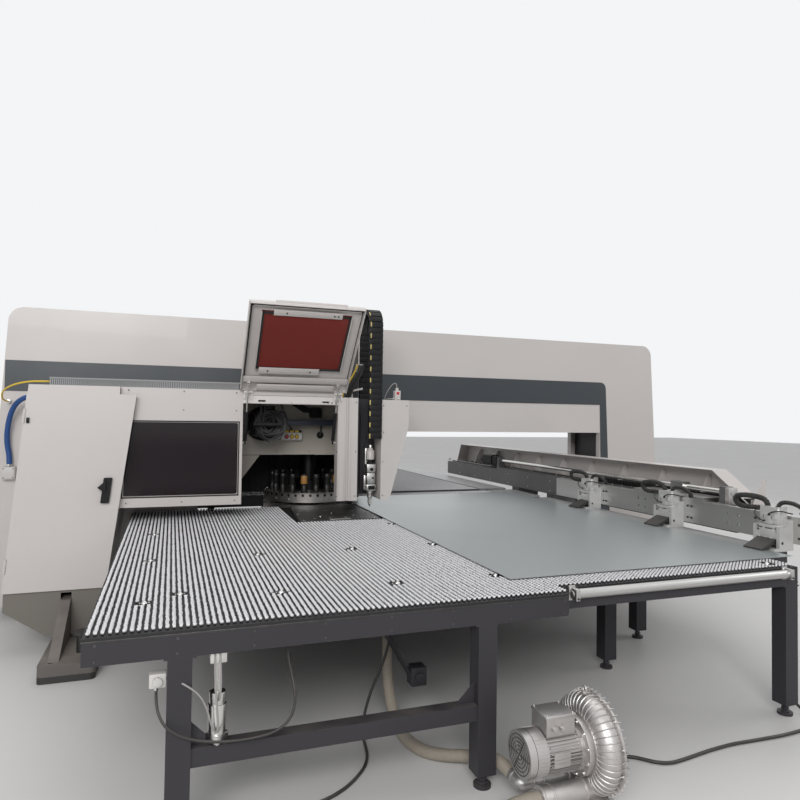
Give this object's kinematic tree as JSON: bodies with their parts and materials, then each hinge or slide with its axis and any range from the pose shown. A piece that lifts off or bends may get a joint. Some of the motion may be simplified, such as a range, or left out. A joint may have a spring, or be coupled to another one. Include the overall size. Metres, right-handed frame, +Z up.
{
  "type": "turret punch press",
  "caption": "Closed-frame CNC turret punch press with a laser head, brush table, clamp beam, tool hatch, side cabinet and ring blower.",
  "frame": {"origin": "on the floor, at the centre of the whole machine", "axes": "+X along the frame to the operator's right, +Y through the frame away from the operator's side, +Z up"},
  "size_m": [6.17, 7.2691, 2.4259],
  "materials": {
    "white_paint": "fine satin powder coat",
    "grey_paint": "satin powder coat",
    "dark_band": "satin powder coat",
    "dark_paint": "satin powder coat",
    "black_plastic": "matte",
    "rubber": "matte",
    "tinted_glass": "tinted clear sheet",
    "red_glass": "red laser-safe sheet",
    "steel": "ground steel",
    "dark_steel": "blackened steel",
    "sheet_metal": "rolled sheet",
    "casting": "die cast",
    "brush": "bristle",
    "beige_plate": "satin",
    "blue_hose": "matte",
    "yellow_cable": "matte",
    "spiral_hose": "ribbed",
    "red_button": "glossy",
    "yellow_button": "glossy",
    "orange_cap": "satin"
  },
  "bodies": {
    "machine": {"frame_base_beam": "dark_paint", "frame_columns": "grey_paint", "frame_top_beam": "grey_paint", "front_covers": "white_paint", "rear_covers": "white_paint", "end_covers": "white_paint", "side_bands": "dark_band", "frame_feet": "grey_paint", "levelling_feet": "rubber", "cabinet_shell": "white_paint", "cabinet_plinth": "grey_paint", "window_box": "white_paint", "window_pane": "tinted_glass", "bay_panels": "beige_plate", "service_fittings": "grey_paint", "push_button_box": "black_plastic", "turret_motor": "dark_paint", "ribbed_column": "white_paint", "laser_recess": "dark_paint", "tapered_cover": "white_paint", "laser_energy_chain": "black_plastic", "front_bed": "dark_paint", "rear_bed": "dark_paint", "bed_brushes": "brush", "table_frame": "grey_paint", "die_plate": "dark_steel", "plates_and_brackets": "white_paint", "blower_casing": "casting", "blower_motor": "casting", "suction_hose": "spiral_hose", "outlet_hose": "spiral_hose", "blower_cable": "rubber", "table_cable": "rubber", "floor_cable": "rubber", "fibre_cable": "yellow_cable", "water_hose": "blue_hose"},
    "door": {"cabinet_door": "white_paint"},
    "handle": {"door_handle": "black_plastic"},
    "hatch": {"hatch_frame": "white_paint", "hatch_pane": "red_glass"},
    "spring_barrels": {"gas_spring_barrels": "dark_paint"},
    "spring_rods": {"gas_spring_rods": "steel"},
    "stop_button": {"stop_button": "red_button"},
    "left_button": {"left_button": "yellow_button"},
    "right_button": {"right_button": "yellow_button"},
    "laser": {"laser_head": "steel"},
    "upper_disc": {"upper_turret": "steel", "punch_holders": "orange_cap"},
    "lower_disc": {"lower_turret": "steel"},
    "ram": {"punch_ram": "steel"},
    "roller": {"front_roller": "steel"},
    "beam": {"beam_body": "grey_paint", "beam_hood": "white_paint", "screw_motor": "dark_paint"},
    "screw": {"ball_screw": "steel"},
    "carriage": {"clamp_carriage": "dark_paint", "clamps": "dark_steel", "clamp_chains": "black_plastic", "workpiece_sheet": "sheet_metal"},
    "jaws": {"clamp_jaws": "steel"}
  },
  "joints": [
    {"name": "beam_slide", "type": "slide", "parent": "machine", "child": "beam", "axis": [-1, 0, 0], "range_m": [0, 1.25]},
    {"name": "carriage_slide", "type": "slide", "parent": "beam", "child": "carriage", "axis": [0, 1, 0], "range_m": [0, 2.3]},
    {"name": "screw_turn", "type": "hinge", "parent": "beam", "child": "screw", "pos_m": [1.79, 0, 1.085], "axis": [0, 1, 0], "continuous": true},
    {"name": "jaw_swing", "type": "hinge", "parent": "carriage", "child": "jaws", "pos_m": [1.568, -1.935, 0.856], "axis": [0, 1, 0], "range_deg": [0, 10]},
    {"name": "upper_index", "type": "hinge", "parent": "machine", "child": "upper_disc", "pos_m": [-0.637, 0.16, 0.86], "axis": [0, 0, 1], "continuous": true},
    {"name": "lower_index", "type": "hinge", "parent": "machine", "child": "lower_disc", "pos_m": [-0.637, 0.16, 0.76], "axis": [0, 0, 1], "continuous": true},
    {"name": "ram_stroke", "type": "slide", "parent": "machine", "child": "ram", "axis": [0, 0, -1], "range_m": [0, 0.037]},
    {"name": "laser_height", "type": "slide", "parent": "machine", "child": "laser", "axis": [0, 0, 1], "range_m": [-0.04, 0.12]},
    {"name": "hatch_hinge", "type": "hinge", "parent": "machine", "child": "hatch", "pos_m": [-0.985, -0.958, 1.738], "axis": [1, 0, 0], "range_deg": [0, 138]},
    {"name": "spring_swing", "type": "hinge", "parent": "hatch", "child": "spring_rods", "pos_m": [-0.999, -1.029, 1.80191], "axis": [1, 0, 0], "range_deg": [-145.94, 0]},
    {"name": "spring_slide", "type": "slide", "parent": "spring_rods", "child": "spring_barrels", "axis": [0, -0.3234, 0.9462], "range_m": [0, 0.1772]},
    {"name": "door_hinge", "type": "hinge", "parent": "machine", "child": "door", "pos_m": [-2.83, -1.005, 0.412], "axis": [-0.0853, 0, -0.9964], "range_deg": [0, 110]},
    {"name": "handle_turn", "type": "hinge", "parent": "door", "child": "handle", "pos_m": [-2.246, -1.015, 0.998], "axis": [0, 1, 0], "range_deg": [0, 90]},
    {"name": "stop_press", "type": "slide", "parent": "machine", "child": "stop_button", "axis": [0, 1, 0], "range_m": [0, 0.005], "stiffness_N_per_m": 600},
    {"name": "left_press", "type": "slide", "parent": "machine", "child": "left_button", "axis": [0, 1, 0], "range_m": [0, 0.005], "stiffness_N_per_m": 600},
    {"name": "right_press", "type": "slide", "parent": "machine", "child": "right_button", "axis": [0, 1, 0], "range_m": [0, 0.005], "stiffness_N_per_m": 600},
    {"name": "roller_turn", "type": "hinge", "parent": "machine", "child": "roller", "pos_m": [0.585, -3.176, 0.768], "axis": [1, 0, 0], "continuous": true}
  ],
  "couplings": [
    {"joint": "lower_index", "follows": "upper_index", "ratio": 1},
    {"joint": "spring_swing", "follows": "hatch_hinge", "ratio": -1.0368},
    {"joint": "spring_slide", "follows": "hatch_hinge", "m_per_rad": 0.072842}
  ]
}
